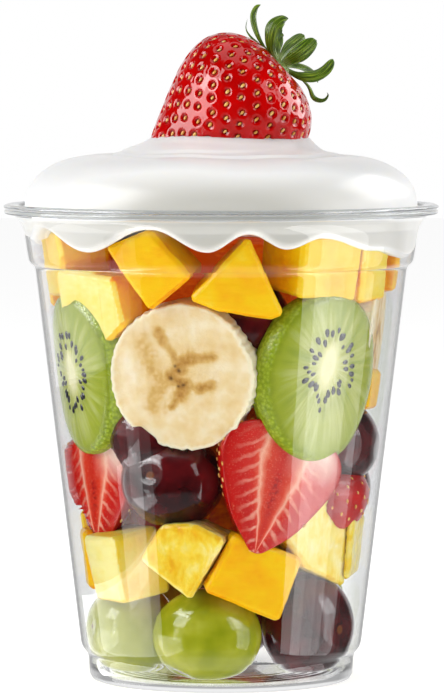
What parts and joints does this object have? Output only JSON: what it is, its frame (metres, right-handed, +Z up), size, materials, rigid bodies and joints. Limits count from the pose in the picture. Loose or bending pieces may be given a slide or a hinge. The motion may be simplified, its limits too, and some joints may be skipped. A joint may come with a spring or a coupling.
{
  "type": "fruit cup",
  "caption": "Clear plastic cup packed with cut mango, pineapple, banana, kiwi, grapes and strawberries, under a smooth cap of cream with a whole strawberry on top.",
  "frame": {"origin": "middle of the cup's foot, on the surface that it stands on", "axes": "+Z up along the cup's axis, front of the cup towards -Y, the strawberry's leaves towards +X"},
  "size_m": [0.098, 0.0972, 0.1517],
  "materials": {
    "cup": "clear, glossy",
    "cream": "smooth, softly glossy",
    "strawberry": "glossy skin, moist where cut",
    "strawberry_leaf": "satin leaf",
    "mango": "moist cut flesh",
    "pineapple": "moist fibrous flesh",
    "banana": "matt cut flesh",
    "kiwi": "moist cut flesh with dark seeds",
    "green_grape": "glossy translucent skin",
    "red_grape": "glossy dark skin"
  },
  "bodies": {
    "root": {"banana_back": "banana", "banana_front": "banana", "banana_left": "banana", "banana_right": "banana", "cream": "cream", "crown": "strawberry_leaf", "cup": "cup", "green_grape_back_a": "green_grape", "green_grape_back_c": "green_grape", "green_grape_front": "green_grape", "green_grape_left": "green_grape", "green_grape_right": "green_grape", "kiwi_back_a": "kiwi", "kiwi_back_b": "kiwi", "kiwi_left": "kiwi", "kiwi_right": "kiwi", "mango_back_a": "mango", "mango_back_b": "mango", "mango_back_c": "mango", "mango_back_d": "mango", "mango_back_e": "mango", "mango_back_f": "mango", "mango_back_g": "mango", "mango_back_h": "mango", "mango_block": "mango", "mango_cube": "mango", "mango_inner_front": "mango", "mango_inner_low": "mango", "mango_inner_mid": "mango", "mango_inner_top": "mango", "mango_low": "mango", "mango_pale": "mango", "mango_rhombus": "mango", "mango_side_left": "mango", "mango_side_low": "mango", "mango_side_right": "mango", "mango_strip": "mango", "mango_wedge": "mango", "pineapple_back_a": "pineapple", "pineapple_back_b": "pineapple", "pineapple_back_c": "pineapple", "pineapple_front": "pineapple", "pineapple_right": "pineapple", "pineapple_side": "pineapple", "red_grape_back_a": "red_grape", "red_grape_back_b": "red_grape", "red_grape_back_c": "red_grape", "red_grape_front": "red_grape", "red_grape_inner": "red_grape", "red_grape_left": "red_grape", "red_grape_low": "red_grape", "red_grape_right": "red_grape", "strawberry_back_a": "strawberry", "strawberry_back_b": "strawberry", "strawberry_back_c": "strawberry", "strawberry_front": "strawberry", "strawberry_left": "strawberry", "strawberry_right": "strawberry", "strawberry_top": "strawberry"}
  },
  "joints": []
}
